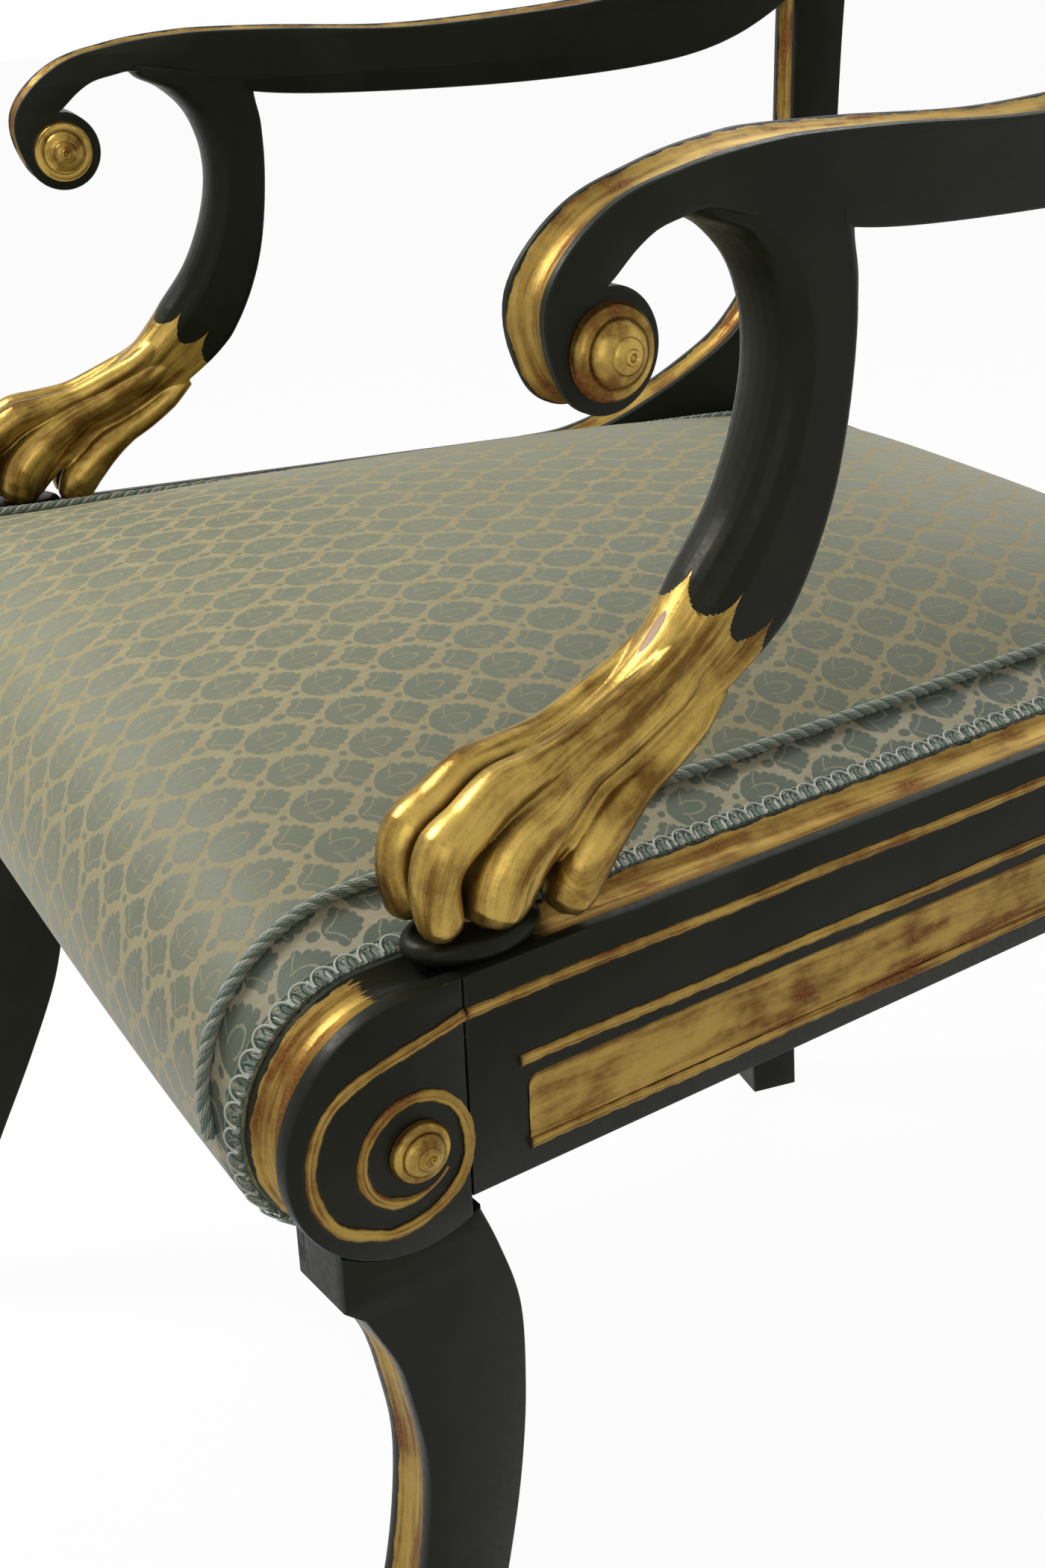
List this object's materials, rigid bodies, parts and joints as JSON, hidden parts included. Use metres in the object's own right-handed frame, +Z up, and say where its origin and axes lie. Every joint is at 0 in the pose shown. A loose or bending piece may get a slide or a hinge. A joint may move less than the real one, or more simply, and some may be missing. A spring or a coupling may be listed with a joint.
{
  "type": "armchair",
  "caption": "Open armchair with sabre legs, scrolled arms on lion's paw supports, volute seat rails, a lyre back and a tight damask seat.",
  "frame": {"origin": "on the floor, at the middle of the chair's width and length", "axes": "+X to the sitter's left, +Y towards the back, +Z up; the chair faces -Y"},
  "size_m": [0.5818, 0.6408, 0.9233],
  "materials": {
    "paint": "black-green paint on beech, satin, worn at the edges",
    "gilding": "water gilding over red-brown bole, burnished and worn",
    "beech": "bare",
    "brass": "gilt, polished",
    "damask": "sage green damask with a beige gold lattice",
    "braid": "green and pale green cord and looped braid",
    "jute": "plain weave",
    "cambric": "black, plain weave"
  },
  "bodies": {
    "root": {"front_leg_right": "paint", "scroll_block_right": "paint", "side_rail_right": "paint", "rear_post_right": "paint", "arm_right": "paint", "arm_support_right": "paint", "paw_pad_right": "paint", "support_dowel_right": "beech", "arm_dowel_right": "beech", "front_joint_dowel_right": "beech", "rear_joint_dowel_right": "beech", "crest_dowel_right": "beech", "arm_boss_outer_right": "gilding", "arm_boss_inner_right": "gilding", "scroll_boss_right": "gilding", "front_leg_left": "paint", "scroll_block_left": "paint", "side_rail_left": "paint", "rear_post_left": "paint", "arm_left": "paint", "arm_support_left": "paint", "paw_pad_left": "paint", "support_dowel_left": "beech", "arm_dowel_left": "beech", "front_joint_dowel_left": "beech", "rear_joint_dowel_left": "beech", "crest_dowel_left": "beech", "arm_boss_outer_left": "gilding", "arm_boss_inner_left": "gilding", "scroll_boss_left": "gilding", "front_seat_rail": "beech", "rear_seat_rail": "paint", "front_corner_block_right": "beech", "front_corner_block_left": "beech", "rear_corner_block_right": "beech", "rear_corner_block_left": "beech", "lower_back_rail": "paint", "crest_rail": "paint", "lyre_sound_box": "gilding", "lyre_horn_right": "gilding", "lyre_horn_left": "gilding", "lyre_yoke": "gilding", "lyre_string_1": "brass", "lyre_string_2": "brass", "lyre_string_3": "brass", "lyre_string_4": "brass", "lyre_rosette_right": "gilding", "lyre_rosette_left": "gilding", "seat_webbing": "jute", "seat_hessian": "jute", "dust_cloth": "cambric", "seat_cushion": "damask", "side_piping_right": "braid", "side_piping_left": "braid", "front_gimp_right": "braid", "front_gimp_left": "braid", "rear_gimp_right": "braid", "rear_gimp_left": "braid"}
  },
  "joints": []
}
